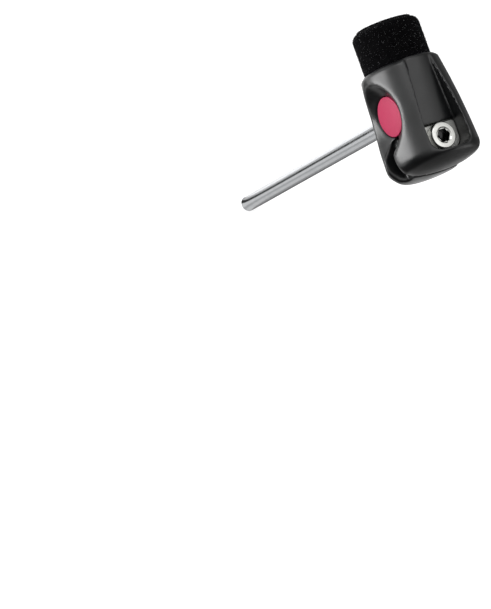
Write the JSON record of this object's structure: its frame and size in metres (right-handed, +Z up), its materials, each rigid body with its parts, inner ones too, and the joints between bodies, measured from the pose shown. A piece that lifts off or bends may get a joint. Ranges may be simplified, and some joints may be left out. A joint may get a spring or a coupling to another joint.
{
  "type": "bass drum beater",
  "caption": "Bass drum beater: a steel rod with a cross hub, gripped by a split moulded head that carries a cylindrical felt and tilts when its clamp bolt is loosened.",
  "frame": {"origin": "centre of the rod's lower end, the end that a pedal clamps", "axes": "+Z up along the rod to the head, +Y towards the struck drum, X along the hub that the head turns on"},
  "size_m": [0.0468, 0.0764, 0.2052],
  "materials": {
    "chrome_steel": "polished",
    "hub_aluminium": "satin",
    "disc_plastic": "satin",
    "head_plastic": "gloss",
    "felt": "matte",
    "plated_steel": "satin"
  },
  "bodies": {
    "rod": {"rod": "chrome_steel", "pivot_hub": "hub_aluminium", "hub_disc_left": "disc_plastic", "hub_disc_right": "disc_plastic"},
    "head": {"head_shell": "head_plastic", "felt_pad": "felt", "clamp_plate": "plated_steel", "clamp_nut": "plated_steel"},
    "bolt": {"clamp_bolt": "chrome_steel"}
  },
  "joints": [
    {"name": "head_tilt", "type": "hinge", "parent": "rod", "child": "head", "pos_m": [0, 0, 0.18], "axis": [1, 0, 0], "range_deg": [-12, 12]},
    {"name": "bolt_turn", "type": "hinge", "parent": "head", "child": "bolt", "pos_m": [0, -0.0174, 0.195], "axis": [0, 0, 1], "range_deg": [0, 360]}
  ]
}
